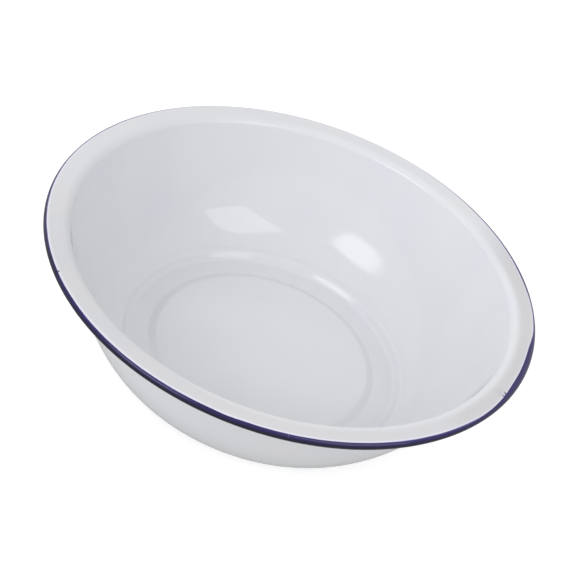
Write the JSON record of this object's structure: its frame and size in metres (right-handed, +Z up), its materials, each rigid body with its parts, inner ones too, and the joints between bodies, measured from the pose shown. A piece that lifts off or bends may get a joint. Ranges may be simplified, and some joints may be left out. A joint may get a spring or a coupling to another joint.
{
  "type": "enamel basin bowl",
  "caption": "Round enamelled steel wash basin: curved wall, flat flange, rolled edge with a navy band, shallow foot ring and raised floor.",
  "frame": {"origin": "centre of the foot ring's underside, where the basin stands", "axes": "+Z up along the axis of the bowl; +X and +Y are any two square directions, since the basin is turned about +Z"},
  "size_m": [0.3599, 0.36, 0.103],
  "materials": {
    "steel": "pressed low-carbon sheet, pickled",
    "ground_enamel": "fired ground coat, dark blue-black",
    "white_enamel": "glossy fired cover coat, slightly cool white",
    "navy_enamel": "glossy fired cover coat, navy, brushed on by hand"
  },
  "bodies": {
    "root": {"steel_shell": "steel", "inner_ground_coat": "ground_enamel", "outer_ground_coat": "ground_enamel", "inner_cover_coat": "white_enamel", "outer_cover_coat": "white_enamel", "rim_band": "navy_enamel"}
  },
  "joints": []
}
